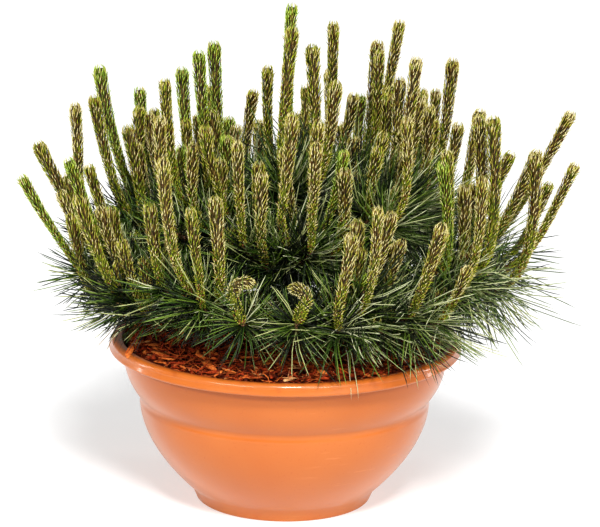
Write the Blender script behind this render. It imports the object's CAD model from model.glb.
# %% [markdown]
# # A dwarf mountain pine in a planting bowl
# The real thing is a young shrub sold in a wide plastic bowl. A short trunk forks into boughs close above
# the bark mulch. Every twig carries a rosette of old, dark needles, and out of its middle stands a candle,
# this spring's pale shoot, with its young needles still pressed to it like the strands of a rope.
#
# The solids give the places and the reach. Here each of them gets its looks: the bowl is turned again with
# its rolled lip, the mulch becomes thousands of shreds, and the plant is grown once more by the same rule
# as the solids, down to the single needle.

import math
import random
from typing import NamedTuple

import bmesh
import bpy
import numpy as np
from mathutils import Matrix, Vector, noise


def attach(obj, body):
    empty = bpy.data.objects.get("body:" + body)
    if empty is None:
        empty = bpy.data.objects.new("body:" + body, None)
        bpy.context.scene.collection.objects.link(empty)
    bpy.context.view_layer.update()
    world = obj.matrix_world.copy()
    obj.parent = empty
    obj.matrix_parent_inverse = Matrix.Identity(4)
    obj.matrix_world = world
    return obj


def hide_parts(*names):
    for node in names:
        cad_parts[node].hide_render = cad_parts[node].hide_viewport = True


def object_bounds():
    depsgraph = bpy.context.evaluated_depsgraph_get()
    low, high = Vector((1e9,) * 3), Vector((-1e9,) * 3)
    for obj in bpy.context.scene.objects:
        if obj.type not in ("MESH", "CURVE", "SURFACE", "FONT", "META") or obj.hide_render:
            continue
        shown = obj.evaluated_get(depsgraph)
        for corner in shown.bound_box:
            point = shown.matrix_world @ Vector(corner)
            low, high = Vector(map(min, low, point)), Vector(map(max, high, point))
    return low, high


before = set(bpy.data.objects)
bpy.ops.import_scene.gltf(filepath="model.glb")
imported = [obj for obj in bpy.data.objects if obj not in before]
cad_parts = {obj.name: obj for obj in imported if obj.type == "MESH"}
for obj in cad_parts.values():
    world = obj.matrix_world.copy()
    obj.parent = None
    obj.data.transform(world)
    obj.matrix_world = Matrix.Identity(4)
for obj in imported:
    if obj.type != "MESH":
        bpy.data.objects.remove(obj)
cad_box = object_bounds()
MM = 0.001
UP = Vector((0, 0, 1))
print("solids:", len(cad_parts), "in the box", cad_box)

# %% [markdown]
# ## A short way to write finishes
# A finish is a network of nodes, and most of its nodes only do sums. Placing each by hand hides what the sum
# is. Here a small class wraps a socket and takes over the signs for plus, minus and times, so that a mask can
# be written as a line of arithmetic. All other nodes come from one method, add.


# %% Sums on sockets
class Wire:
    """An output socket of a finish. A sum written with it adds a Math node."""

    def __init__(self, finish, socket):
        self.finish = finish
        self.socket = socket

    def maths(self, operation, *numbers):
        """The result of that operation on numbers or other sockets."""
        return self.finish.add("ShaderNodeMath", {"operation": operation}, dict(enumerate(numbers)))

    def __add__(self, other):
        return self.maths("ADD", self, other)

    def __sub__(self, other):
        return self.maths("SUBTRACT", self, other)

    def __rsub__(self, other):
        return self.maths("SUBTRACT", other, self)

    def __mul__(self, other):
        return self.maths("MULTIPLY", self, other)

    __radd__ = __add__
    __rmul__ = __mul__

    def rising(self, low, high):
        """0 up to low, 1 from high on, and a smooth slope between them."""
        settings = {"interpolation_type": "SMOOTHSTEP"}
        return self.finish.add(
            "ShaderNodeMapRange", settings, {"Value": self, "From Min": low, "From Max": high}
        )


print("sums can be written with sockets and the signs + - *")

# %% [markdown]
# Colours are easiest to choose on a paint card, where they run from 0 to 255 and are spaced as the eye sees
# them. A shader wants them linear, so they are converted once, here. What is the same all over a surface is
# set on the shader's own socket, and only what changes comes through nodes.


# %% Colours
def paint(red, green, blue):
    """A colour given as on a paint card, 0 to 255, as the linear numbers that a shader takes."""
    parts = [part / 255 for part in (red, green, blue)]
    linear = [part / 12.92 if part <= 0.04045 else ((part + 0.055) / 1.055) ** 2.4 for part in parts]
    return (*linear, 1)


print("a middle grey of 128 on the card is", round(paint(128, 128, 128)[0], 3), "for a shader")


# %% Finishes
class Finish:
    """A material with its network. Even values go straight into the shader's own sockets."""

    def __init__(self, name, even):
        self.material = bpy.data.materials.new(name)
        self.material.use_nodes = True
        self.tree = self.material.node_tree
        self.shader = self.tree.nodes["Principled BSDF"]
        self.feed(self.shader, even)

    def feed(self, node, inputs):
        """Gives a node's inputs their values, and links those that are sockets."""
        for name, value in inputs.items():
            if isinstance(value, Wire):
                self.tree.links.new(value.socket, node.inputs[name])
            else:
                node.inputs[name].default_value = value

    def add(self, kind, settings=None, inputs=None, output=0):
        """Any node: its settings are set first, then its sockets get their values or links."""
        node = self.tree.nodes.new(kind)
        for name, value in (settings or {}).items():
            setattr(node, name, value)
        self.feed(node, inputs or {})
        return Wire(self, node.outputs[output])

    def grain(self, scale, detail=3.0, stretch=(1, 1, 1)):
        """Cloudy noise on the object's own coordinates, with that many clouds to the metre."""
        place = self.add("ShaderNodeTexCoord", output="Object")
        if stretch != (1, 1, 1):
            place = self.add("ShaderNodeMapping", inputs={"Vector": place, "Scale": stretch})
        return self.add("ShaderNodeTexNoise", inputs={"Vector": place, "Scale": scale, "Detail": detail})

    def height(self):
        """The height above the floor, in metres."""
        place = self.add("ShaderNodeTexCoord", output="Object")
        return self.add("ShaderNodeSeparateXYZ", inputs={0: place}, output="Z")

    def mixed(self, share, first, second):
        """A colour between two others, by a share from 0 to 1."""
        inputs = {0: share, 6: first, 7: second}
        return self.add("ShaderNodeMix", {"data_type": "RGBA"}, inputs, 2)

    def raised(self, relief, distance):
        """The normals of a skin that relief lifts by as much as that distance."""
        return self.add("ShaderNodeBump", inputs={"Height": relief, "Distance": distance})


def even_finish(name, colour, roughness, coat=0.0):
    """A finish of one colour, for things as small as a needle: their variety is dealt out among many."""
    even = {"Base Color": colour, "Roughness": roughness, "Coat Weight": coat, "Coat Roughness": 0.3}
    return Finish(name, even).material


print("materials before any finish is made:", len(bpy.data.materials))

# %% [markdown]
# ## Where the camera stands
# The view is a long lens a little above the bowl. The rim, the neck and the foot are circles, so how flat
# their ellipses look gives the height from which they are seen, and how their size changes with height gives
# the distance. The bowl stands low in the picture, below the lens's axis, so the axis is tilted that much
# less. The camera is aimed with its matrix: first the tilt, then a slight roll, then back along its own axis
# until the middle of the bowl falls on its place in the picture.

# %% The camera
PICTURE = (600, 527)
BOWL_MIDDLE_AT = (284.2, 419.6)
BOWL_MIDDLE = Vector((0, 0, 60 * MM))
DISTANCE = 2.6
SEEN_FROM = math.radians(17.4)  # how high above the level the camera stands, seen from the bowl
ROLL = math.radians(0.93)
FOCAL_PIXELS = 3370
SENSOR = 36.0

camera = bpy.data.objects.new("camera", bpy.data.cameras.new("camera"))
bpy.context.scene.collection.objects.link(camera)
bpy.context.scene.camera = camera
camera.data.sensor_width = SENSOR
camera.data.lens = FOCAL_PIXELS / PICTURE[0] * SENSOR
below_axis = math.atan((BOWL_MIDDLE_AT[1] - PICTURE[1] / 2) / FOCAL_PIXELS)
tilt = Matrix.Rotation(math.pi / 2 - SEEN_FROM + below_axis, 3, "X") @ Matrix.Rotation(ROLL, 3, "Z")
across = (BOWL_MIDDLE_AT[0] - PICTURE[0] / 2) / FOCAL_PIXELS * DISTANCE
upwards = (PICTURE[1] / 2 - BOWL_MIDDLE_AT[1]) / FOCAL_PIXELS * DISTANCE
stand = BOWL_MIDDLE - tilt @ Vector((across, upwards, -DISTANCE))
camera.matrix_world = Matrix.Translation(stand) @ tilt.to_4x4()
print("camera at", [round(number, 3) for number in stand], "with a lens of", round(camera.data.lens))

# %% [markdown]
# ## Floor and light
# A catalogue picture is taken in a white tent on a table that glows a little from below, so that hardly a
# shadow is left. Two suns light plant and floor evenly however far the floor runs. The key comes from the
# front, so the soft shadow falls behind the plant. Four strip lights are there for what they draw on the
# plastic: two level ones in front make the long streaks on the rim, and two upright ones at the sides make
# those on the shoulder. The plain display curve, with a little more contrast, keeps the floor white and the
# orange of the bowl clean.

# %% The studio
FLOOR_RADIUS = 9.0
SUNS = (  # name, direction that it shines from, how wide it looks in degrees, strength
    ("key", (0.08, -0.78, 1.1), 12, 2.5),
    ("fill", (0.9, -0.8, 0.7), 40, 0.45),
)
STRIPS = (  # name, place, width and height, strength
    ("front_left", (-1.35, -1.9, 1.35), (1.2, 0.12), 20),
    ("front_right", (0.95, -2.1, 1.35), (0.8, 0.12), 13),
    ("left", (-2.1, 0.5, 0.8), (0.16, 1.4), 9),
    ("right", (2.1, 0.5, 0.8), (0.16, 1.4), 9),
)
TENT = 0.2
TABLE_GLOW = 0.38
LIT_SPOT = Vector((0, 0, 0.18))  # in the middle of the plant

work = bmesh.new()
bmesh.ops.create_circle(work, cap_ends=True, radius=FLOOR_RADIUS, segments=96)
floor_mesh = bpy.data.meshes.new("floor")
work.to_mesh(floor_mesh)
work.free()
floor = bpy.data.objects.new("floor", floor_mesh)
bpy.context.scene.collection.objects.link(floor)
table_top = Finish("pale_floor", {"Base Color": (0.6, 0.6, 0.6, 1), "Roughness": 0.9})
table_top.feed(table_top.shader, {"Emission Color": (1, 1, 1, 1), "Emission Strength": TABLE_GLOW})
floor_mesh.materials.append(table_top.material)

world = bpy.data.worlds.new("studio")
world.use_nodes = True
world.node_tree.nodes["Background"].inputs["Color"].default_value = (1, 1, 1, 1)
world.node_tree.nodes["Background"].inputs["Strength"].default_value = TENT
bpy.context.scene.world = world
bpy.context.scene.view_settings.view_transform = "Standard"
bpy.context.scene.view_settings.look = "Medium High Contrast"
print("floor:", 2 * FLOOR_RADIUS, "m across")


# %% Lights
def light(name, kind, place, strength):
    """A light at a place, turned towards the middle of the plant."""
    made = bpy.data.objects.new(name, bpy.data.lights.new(name, kind))
    made.data.energy = strength
    made.location = place
    made.rotation_euler = (LIT_SPOT - made.location).to_track_quat("-Z", "Y").to_euler()
    bpy.context.scene.collection.objects.link(made)
    return made.data


for name, place, width, strength in SUNS:
    light(name, "SUN", place, strength).angle = math.radians(width)
for name, place, (width, height), strength in STRIPS:
    strip = light(name, "AREA", place, strength)
    strip.shape = "RECTANGLE"
    strip.size, strip.size_y = width, height
print("lights:", len(SUNS) + len(STRIPS))

# %% [markdown]
# ## The bowl
# A bowl like this is moulded from coloured plastic: a foot, a rounded belly that ends in a soft shoulder, a
# shallow neck, a collar and a rolled rim. All of it is round, so one outline is drawn and spun about the
# upright axis. The outline is made of arcs and of one curve, the flare, that opens fast and then stands up;
# that curve is the same as in the solid, only cut much finer.

# %% The measures of the bowl
WALL = 2.6 * MM
FLOOR_THICKNESS = 3.0 * MM
FOOT_RADIUS, FOOT_HEIGHT = 67.6 * MM, 9.4 * MM
BELLY_RADIUS = 71.1 * MM
SHOULDER_RADIUS, SHOULDER_HEIGHT = 111.4 * MM, 78 * MM
NOTCH_RADIUS, NOTCH_HEIGHT = 110.5 * MM, 81.5 * MM
COLLAR_RADIUS, COLLAR_HEIGHT = 124 * MM, 118 * MM
SHOULDER_ROLL, SHOULDER_TURN = 9 * MM, 15  # how gently the shoulder rounds, and how far it turns in
NECK_ROLL, NECK_TURN = 6 * MM, 40  # the same for the neck above it, which turns out again
RIM_RADIUS, RIM_UNDER, RIM_TOP = 135 * MM, 119 * MM, 128 * MM
RIM_WIDTH = 10 * MM
RIM_ROLL, LIP_BEAD = 3.8 * MM, 1.5 * MM
FOOT_EDGE = 1.6 * MM  # how round the foot's lower edge is
SHOULDER_LOWERED = 2.5 * MM  # how far below its full height the shoulder begins to turn in
LIP_INSIDE, LIP_LOWERED, LIP_ROUND = 1.2 * MM, 2.0 * MM, 1.3 * MM  # the inner edge of the rim
GAP = 0.3 * MM
BELLY_FULLNESS, COLLAR_FULLNESS, WALL_FULLNESS = 1.85, 2.4, 2.2  # how fast each opens
BOWL_STEPS = 144
print("bowl:", round(2 * RIM_RADIUS / MM), "mm across the rim,", round(RIM_TOP / MM), "mm high")


# %% Two curves for outlines
def arc(centre, radius, first, last, steps):
    """Points of a round stretch of an outline, with angles in degrees from the outward direction."""
    turns = [math.radians(first + (last - first) * step / steps) for step in range(steps + 1)]
    return [(centre[0] + radius * math.cos(turn), centre[1] + radius * math.sin(turn)) for turn in turns]


def flare(low, high, fullness, steps):
    """A wall that opens fast at first and then stands up, both ends included."""
    points = []
    for step in range(steps + 1):
        share = step / steps
        radius = low[0] + (high[0] - low[0]) * (1 - (1 - share) ** fullness)
        points.append((radius, low[1] + (high[1] - low[1]) * share))
    return points


half_way = flare((BELLY_RADIUS, FOOT_HEIGHT), (SHOULDER_RADIUS, SHOULDER_HEIGHT), BELLY_FULLNESS, 2)[1]
print("half way up the belly the bowl is", round(2 * half_way[0] / MM), "mm across")

# %% [markdown]
# From the foot the outline climbs the belly until just below the shoulder. There two arcs take over, which
# touch each other: the shoulder turns in and the neck turns out again. Both are so gentle that they only show
# as a soft band of shade. Over the rim it goes down the inside to the axis again, with fewer points, because
# the mulch covers nearly all of that.


# %% The outline of the bowl
def bowl_outline():
    """The closed outline, as pairs of radius and height, from the axis below to the axis inside."""
    foot = arc((FOOT_RADIUS - FOOT_EDGE, FOOT_EDGE), FOOT_EDGE, -90, 0, 5)
    belly = flare((BELLY_RADIUS, FOOT_HEIGHT), (SHOULDER_RADIUS, SHOULDER_HEIGHT), BELLY_FULLNESS, 30)
    level = SHOULDER_HEIGHT - SHOULDER_LOWERED
    below = [point for point in belly if point[1] < level - 0.5 * MM]
    shoulder = arc((SHOULDER_RADIUS - SHOULDER_ROLL, level), SHOULDER_ROLL, 0, SHOULDER_TURN, 8)
    turn, away = math.radians(SHOULDER_TURN), SHOULDER_ROLL + NECK_ROLL
    neck_centre = (
        SHOULDER_RADIUS - SHOULDER_ROLL + away * math.cos(turn),
        level + away * math.sin(turn),
    )
    neck = arc(neck_centre, NECK_ROLL, 180 + SHOULDER_TURN, 180 - NECK_TURN, 10)
    collar = flare(neck[-1], (COLLAR_RADIUS, COLLAR_HEIGHT), COLLAR_FULLNESS, 36)[1:]
    wall = flare((NOTCH_RADIUS, NOTCH_HEIGHT), (COLLAR_RADIUS, COLLAR_HEIGHT), WALL_FULLNESS, 40)
    bead = arc((RIM_RADIUS - LIP_BEAD, RIM_UNDER + LIP_BEAD), LIP_BEAD, -90, 20, 6)
    roll = arc((RIM_RADIUS - LIP_BEAD - RIM_ROLL, RIM_TOP - RIM_ROLL), RIM_ROLL, -5, 95, 12)
    lip = arc((RIM_RADIUS - RIM_WIDTH + LIP_INSIDE, RIM_TOP - LIP_LOWERED), LIP_ROUND, 95, 180, 6)
    inner_wall = [(radius - WALL, height) for radius, height in reversed(wall[::5])]
    inner_belly = [(radius - WALL, height) for radius, height in reversed(belly[::5])]
    floor_edge = (FOOT_RADIUS - WALL, FLOOR_THICKNESS)
    outside = [(0, 0), *foot, *below, *shoulder, *neck, *collar]
    return [*outside, *bead, *roll, *lip, *inner_wall, *inner_belly, floor_edge, (0, FLOOR_THICKNESS)]


print("outline of the bowl:", len(bowl_outline()), "points")

# %% [markdown]
# Spinning with the seam merged closes the round. The two ends of the outline lie on the axis, so each leaves
# one point for every step there; merging those by distance closes the poles. Only then are the normals
# turned outwards.


# %% Turning an outline
def turned(outline, steps):
    """A mesh in the making: a closed solid of revolution about the upright axis."""
    work = bmesh.new()
    points = [work.verts.new((radius, 0, height)) for radius, height in outline]
    edges = [work.edges.new(pair) for pair in zip(points, points[1:])]
    bmesh.ops.spin(
        work, geom=points + edges, axis=UP, cent=(0, 0, 0), angle=math.tau, steps=steps, use_merge=True
    )
    bmesh.ops.remove_doubles(work, verts=work.verts, dist=0.01 * MM)
    bmesh.ops.recalc_face_normals(work, faces=work.faces)
    return work


def dressed(work, name, materials, nodes, sharp_above=40):
    """The finished piece: it rides with the plant, names its material slot and stands for those solids."""
    mesh = bpy.data.meshes.new(name)
    work.to_mesh(mesh)
    work.free()
    mesh.shade_smooth()
    mesh.set_sharp_from_angle(angle=math.radians(sharp_above))
    return placed(mesh, name, materials, nodes)


def placed(mesh, name, materials, nodes):
    """Hands a mesh over to the frame, with its materials, and says how many triangles it has."""
    for material in materials:
        mesh.materials.append(material)
    piece = bpy.data.objects.new(name, mesh)
    bpy.context.scene.collection.objects.link(piece)
    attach(piece, "root")
    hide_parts(*nodes)
    mesh.calc_loop_triangles()
    print(name, "has", len(mesh.loop_triangles), "triangles")
    return piece


print("the bowl turns by", 360 / BOWL_STEPS, "degrees at each step")

# %% [markdown]
# The plastic is satin and a little cloudy, as pigment never mixes evenly. Seen close it has the fine orange
# peel of a moulded skin, pale scuffs round the belly where bowls are stacked in each other, dust low at the
# foot, and a stain of wet bark on the inside of the lip.


# %% The finish of the bowl
def terracotta_plastic():
    """Satin orange plastic with clouds, specks, scuffs, dust and a stain."""
    finish = Finish("terracotta_plastic", {"IOR": 1.42, "Coat Roughness": 0.1})
    clouds = finish.grain(13, 2).rising(0.32, 0.68)
    specks = finish.grain(520, 2).rising(0.62, 0.74)
    scuffs = finish.grain(34, 4, (1, 1, 9)).rising(0.63, 0.72) * finish.grain(9, 2).rising(0.45, 0.65)
    height = finish.height()
    dust = (1 - height.rising(1 * MM, 26 * MM)) * finish.grain(60, 4).rising(0.35, 0.7)
    stain = height.rising(119 * MM, 126.4 * MM) * finish.grain(90, 4).rising(0.5, 0.7)
    plain = finish.mixed(clouds, paint(186, 101, 38), paint(191, 107, 44))
    plain = finish.mixed(specks * 0.3, plain, paint(176, 84, 29))
    plain = finish.mixed(scuffs * 0.3, plain, paint(218, 140, 88))
    plain = finish.mixed(dust * 0.3, plain, paint(186, 130, 88))
    plain = finish.mixed(stain * 0.35, plain, paint(152, 66, 24))
    relief = finish.grain(760, 1) + finish.grain(60, 2) * 2 + scuffs * 0.6
    values = {
        "Base Color": plain,
        "Roughness": 0.28 + clouds * 0.06 + scuffs * 0.16 + dust * 0.25,
        "Coat Weight": 0.4 - dust * 0.3,
        "Normal": finish.raised(relief, 0.012 * MM),
    }
    finish.feed(finish.shader, values)
    return finish.material


bowl_solid = turned(bowl_outline(), BOWL_STEPS)
dressed(bowl_solid, "bowl_shell", [terracotta_plastic()], ["bowl"], 30)

# %% [markdown]
# ## The mulch
# Shredded pine bark: a tangle of red-brown fibres with a few broad chips of orange wood between them. A bump
# map would look flat from the side, where the shreds stand up against the rim, so they are real. First comes
# the bed that they lie on, spun like the bowl and roughened by noise, a low mound that fills the bowl.

# %% The bed of mulch
MULCH_EDGE, MULCH_TOP = 124.5 * MM, 128 * MM
MULCH_LEVEL_RADIUS = 19 * MM
MULCH_RADIUS = COLLAR_RADIUS - WALL - GAP
BED_RINGS, BED_STEPS = 44, 150
BED_LUMPS, BED_RELIEF, BED_SUNK = 130, 1.6 * MM, 1.2 * MM  # how its noise is sized, and how deep it lies


def mulch_height(radius):
    """Height of the mulch at that distance from the axis, for one number or an array."""
    share = np.clip((radius - MULCH_LEVEL_RADIUS) / (MULCH_RADIUS - MULCH_LEVEL_RADIUS), 0, 1)
    return MULCH_TOP - (MULCH_TOP - MULCH_EDGE) * share**2


def mulch_bed():
    """The filling down to the bowl's floor, a little clear of the wall, with a rough top."""
    bottom = [(0, FLOOR_THICKNESS + GAP), (FOOT_RADIUS - WALL - GAP, FLOOR_THICKNESS + GAP)]
    belly = flare((BELLY_RADIUS, FOOT_HEIGHT), (SHOULDER_RADIUS, SHOULDER_HEIGHT), BELLY_FULLNESS, 8)
    wall = flare((NOTCH_RADIUS, NOTCH_HEIGHT), (COLLAR_RADIUS, COLLAR_HEIGHT), WALL_FULLNESS, 6)
    sides = [(radius - WALL - 2 * GAP, height + GAP) for radius, height in [*belly, *wall]]
    rings = [MULCH_RADIUS * (1 - step / BED_RINGS) for step in range(BED_RINGS + 1)]
    top = [(radius, float(mulch_height(radius))) for radius in rings]
    work = turned([*bottom, *sides, *top], BED_STEPS)
    for point in work.verts:
        if point.co.z > MULCH_EDGE - 1 * MM:
            point.co.z += noise.fractal(point.co * BED_LUMPS, 1.0, 2.0, 4) * BED_RELIEF - BED_SUNK
    return work


print("mulch:", round(MULCH_TOP / MM, 1), "mm high in the middle,", round(MULCH_EDGE / MM, 1), "at the wall")

# %% [markdown]
# Bark mulch isn't of one colour: outer bark is almost black, inner bark red or brown, and torn wood orange or
# straw. One finish with streaks and patches is made in five such tones, which are dealt out among the shreds.


# %% Five tones of bark
def shredded_bark(name, dark, pale):
    """Bark in one of its tones, with the streaks and the dull, broken surface of torn wood."""
    finish = Finish(name, {"IOR": 1.4})
    streaks = finish.grain(420, 4)
    patches = finish.grain(70, 2)
    shade = (streaks * 0.7 + patches * 0.5).rising(0.42, 0.78)
    values = {
        "Base Color": finish.mixed(shade, dark, pale),
        "Roughness": 0.88 - shade * 0.14,
        "Normal": finish.raised(finish.grain(900, 3) + streaks, 0.25 * MM),
    }
    finish.feed(finish.shader, values)
    return finish.material


MULCH_TONES = [
    shredded_bark("mulch_dark", paint(70, 22, 9), paint(126, 48, 18)),
    shredded_bark("mulch_red", paint(150, 50, 17), paint(204, 84, 33)),
    shredded_bark("mulch_brown", paint(146, 66, 26), paint(198, 104, 46)),
    shredded_bark("mulch_orange", paint(204, 94, 32), paint(242, 146, 70)),
    shredded_bark("mulch_straw", paint(214, 146, 88), paint(244, 200, 142)),
]
dressed(mulch_bed(), "mulch_bed", MULCH_TONES[:1], ["mulch"], 180)

# %% [markdown]
# ## Many small things
# A plant like this has tens of thousands of needles. An object for each would be slow and would be lost in
# an export, so they are kept as arrays of points and made into one mesh for each kind. A sheaf collects them.
# A blade is the shape that most of them share: three-sided, closed at its root, pointed at its tip and bent
# a little. All the blades of a spray are worked out at once.


# %% Sheaves
class Sheaf:
    """Small closed meshes of one kind, gathered as arrays, which become one piece."""

    def __init__(self):
        self.points, self.corners, self.slots, self.count = [], [], [], 0

    def add(self, points, corners, slots):
        """One more mesh: its points, its triangles as numbers of points, and each triangle's material."""
        self.points.append(points)
        self.corners.append(corners + self.count)
        self.slots.append(slots)
        self.count += len(points)

    def add_alike(self, points, corners, slots):
        """Many of one build: points as (number, points of one, 3) and slots as (number, corners of one)."""
        number, size, _ = points.shape
        steps = np.arange(number)[:, None, None] * size
        self.add(points.reshape(-1, 3), (corners[None] + steps).reshape(-1, 3), slots.reshape(-1))

    def piece(self, name, materials, slot, nodes):
        """Makes one smooth mesh of all that was gathered and hands it over."""
        points, corners = np.concatenate(self.points), np.concatenate(self.corners)
        mesh = bpy.data.meshes.new(name)
        mesh.vertices.add(len(points))
        mesh.vertices.foreach_set("co", points.astype(np.float32).ravel())
        mesh.loops.add(corners.size)
        mesh.loops.foreach_set("vertex_index", corners.astype(np.int32).ravel())
        mesh.polygons.add(len(corners))
        mesh.polygons.foreach_set("loop_start", np.arange(0, corners.size, 3, dtype=np.int32))
        mesh.polygons.foreach_set("material_index", np.concatenate(self.slots).astype(np.int32))
        mesh.update(calc_edges=True)
        mesh.shade_smooth()
        return placed(mesh, name, materials, nodes)


print("a new sheaf holds", Sheaf().count, "points")

# %% Blades
BLADE_SIDES = (0, math.tau / 3, 2 * math.tau / 3)


def unit(rows):
    """Each row scaled to a length of 1."""
    return rows / np.linalg.norm(rows, axis=-1, keepdims=True)


def cross_frame(ways, beside=(0.31, 0.17, 0.93)):
    """Two directions square to each way and to each other. No way may be parallel to beside."""
    side = unit(np.cross(ways, beside))
    return side, np.cross(ways, side)


def blade_corners(rings):
    """The triangles of one blade: its root, the bands between its rings, and its tip."""
    corners = [(2, 1, 0)]
    for first in range(0, 3 * rings - 3, 3):
        for a, b in ((0, 1), (1, 2), (2, 0)):
            corners += [(first + a, first + b, first + b + 3), (first + a, first + b + 3, first + a + 3)]
    last, tip = 3 * rings - 3, 3 * rings
    corners += [(last + a, last + b, tip) for a, b in ((0, 1), (1, 2), (2, 0))]
    return np.array(corners)


def blades(roots, ways, lengths, widths, bends, stations):
    """The points of many blades. Stations are pairs of a share of the length and of the width."""
    side, across = cross_frame(ways)
    points = []
    for share, girth in stations:
        middle = roots + (ways * share + bends * share**2) * lengths[:, None]
        for turn in BLADE_SIDES:
            out = side * math.cos(turn) + across * math.sin(turn)
            points.append(middle + out * (widths * girth / 2)[:, None])
    points.append(roots + (ways + bends) * lengths[:, None])
    return np.stack(points, axis=1)


print("a blade with two rings has", len(blade_corners(2)), "triangles, with three", len(blade_corners(3)))

# %% [markdown]
# Two kinds of shreds cover the bed. The fibres are blades, thin and bent at random. The chips are flat pieces
# of wood: a four-cornered section that is carried along in three stretches, with each corner moved a little,
# so that no two are alike. Some of them are broad, lie on top and are of a fresher orange, and one has come
# to lie on the rim.

# %% The shape of a chip
CHIP_STATIONS = ((0, 0.45), (0.3, 1.0), (0.75, 0.9), (1, 0.35))  # shares of the length and of the width
RAGGED, SHIFTED = (0.7, 1.15), 0.06  # how much each corner is moved outwards or in, and along the chip


def chip_corners():
    """The triangles of one chip: both ends and the bands between its four sections."""
    corners = [(3, 2, 1), (3, 1, 0), (12, 13, 14), (12, 14, 15)]
    for first in range(0, 12, 4):
        for a, b in ((0, 1), (1, 2), (2, 3), (3, 0)):
            corners += [(first + a, first + b, first + b + 4), (first + a, first + b + 4, first + a + 4)]
    return np.array(corners)


def chips(middles, ways, tops, lengths, widths, heights, rng):
    """The points of many chips: tops are the directions that their flat sides face."""
    across = unit(np.cross(tops, ways))
    tops = np.cross(ways, across)
    points = []
    for share, girth in CHIP_STATIONS:
        for over, up in ((-1, -1), (1, -1), (1, 1), (-1, 1)):
            ragged = girth * rng.uniform(*RAGGED, len(middles))
            along = (share - 0.5 + rng.uniform(-SHIFTED, SHIFTED, len(middles))) * lengths
            place = middles + ways * along[:, None] + across * (over * ragged * widths / 2)[:, None]
            points.append(place + tops * (up * ragged * heights / 2)[:, None])
    return np.stack(points, axis=1)


print("a chip has", len(chip_corners()), "triangles, a fibre", len(blade_corners(3)))

# %% Places on the mulch
STREWN = (0.02, 0.965)  # shares of the bed's area, from the trunk to the wall
BURIED = 0.4  # how deep the deepest lie, as a share of how high the highest do


def strewn(number, rng, rise):
    """Places on the mulch, from the trunk to the wall, up to that height above the bed."""
    radii = MULCH_RADIUS * np.sqrt(rng.uniform(*STREWN, number))
    turns = rng.uniform(0, math.tau, number)
    heights = mulch_height(radii) + rng.uniform(-BURIED, 1, number) * rise
    return np.stack([radii * np.cos(turns), radii * np.sin(turns), heights], axis=1)


def flat_ways(number, rng, tilt):
    """Directions all round, tilted a little up or down."""
    turns, tilts = rng.uniform(0, math.tau, number), rng.normal(0, tilt, number)
    return unit(np.stack([np.cos(turns), np.sin(turns), np.tan(tilts)], axis=1))


print("shreds lie up to", round(MULCH_RADIUS * math.sqrt(STREWN[1]) / MM), "mm from the axis")

# %% Chips
CHIPS, BROAD_CHIPS = 1500, 70
CHIP_TONES = (0.22, 0.28, 0.28, 0.17, 0.05)  # shares of the five tones
CHIP_SHORTEST, CHIP_LONGER, MOSTLY_SHORT = 4, 14, 2.2  # the shortest in millimetres, and up to how much more
CHIP_WIDTHS, CHIP_HEIGHTS = (0.18, 0.42), (0.8, 2.4)  # as shares of the length, and in millimetres
CHIP_RISE, CHIP_TILT, CHIP_ROLL = 3.2 * MM, 0.2, 0.3
ORANGE = 3
BROAD_LENGTHS, BROAD_WIDTHS, BROAD_RAISED = (12, 21), (4, 7), 2.5 * MM
STRAY_CHIP_AZIMUTH = math.radians(206)
STRAY_CHIP_SIZE = (15 * MM, 5.5 * MM, 1.6 * MM)


def stray_chip(rng):
    """The chip on the rim, dipping over its outer edge."""
    turn = STRAY_CHIP_AZIMUTH
    out = np.array([[math.cos(turn), math.sin(turn), 0]])
    middle = out * (RIM_RADIUS - 5.5 * MM) + (0, 0, RIM_TOP + 1.3 * MM)
    way = unit(np.array([[-0.2, -0.8, -0.4]]))
    length, width, height = (np.array([size]) for size in STRAY_CHIP_SIZE)
    return chips(middle, way, np.array([[0, 0, 1.0]]), length, width, height, rng)


def mulch_chips(rng):
    """All the chips, the broad ones first, and the one on the rim."""
    sheaf, corners = Sheaf(), chip_corners()
    lengths = (CHIP_SHORTEST + CHIP_LONGER * rng.random(CHIPS) ** MOSTLY_SHORT) * MM
    widths = lengths * rng.uniform(*CHIP_WIDTHS, CHIPS)
    lengths[:BROAD_CHIPS] = rng.uniform(*BROAD_LENGTHS, BROAD_CHIPS) * MM
    tops = unit(rng.normal(0, CHIP_ROLL, (CHIPS, 3)) + (0, 0, 1))
    places = strewn(CHIPS, rng, CHIP_RISE)
    out = np.linalg.norm(places[:, :2], axis=1) + lengths / 2
    places[:, :2] *= np.minimum(1, (MULCH_RADIUS - 0.5 * MM) / out)[:, None]
    ways = flat_ways(CHIPS, rng, CHIP_TILT)
    heights = rng.uniform(*CHIP_HEIGHTS, CHIPS) * MM
    widths[:BROAD_CHIPS] = rng.uniform(*BROAD_WIDTHS, BROAD_CHIPS) * MM
    places[:BROAD_CHIPS, 2] += BROAD_RAISED
    tones = rng.choice(len(MULCH_TONES), CHIPS, p=CHIP_TONES)
    tones[:BROAD_CHIPS] = ORANGE
    points = chips(places, ways, tops, lengths, widths, heights, rng)
    sheaf.add_alike(points, corners, np.repeat(tones[:, None], len(corners), axis=1))
    sheaf.add_alike(stray_chip(rng), corners, np.full((1, len(corners)), ORANGE))
    return sheaf.piece("mulch_chips", MULCH_TONES, "bark_mulch", ["mulch"])


mulch_chips(np.random.default_rng(41))

# %% [markdown]
# A fibre lies with its middle on its place, and its ends may lie outside the bowl's wall. Such a fibre is
# pushed inwards by as much as its end is too far out.

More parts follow.
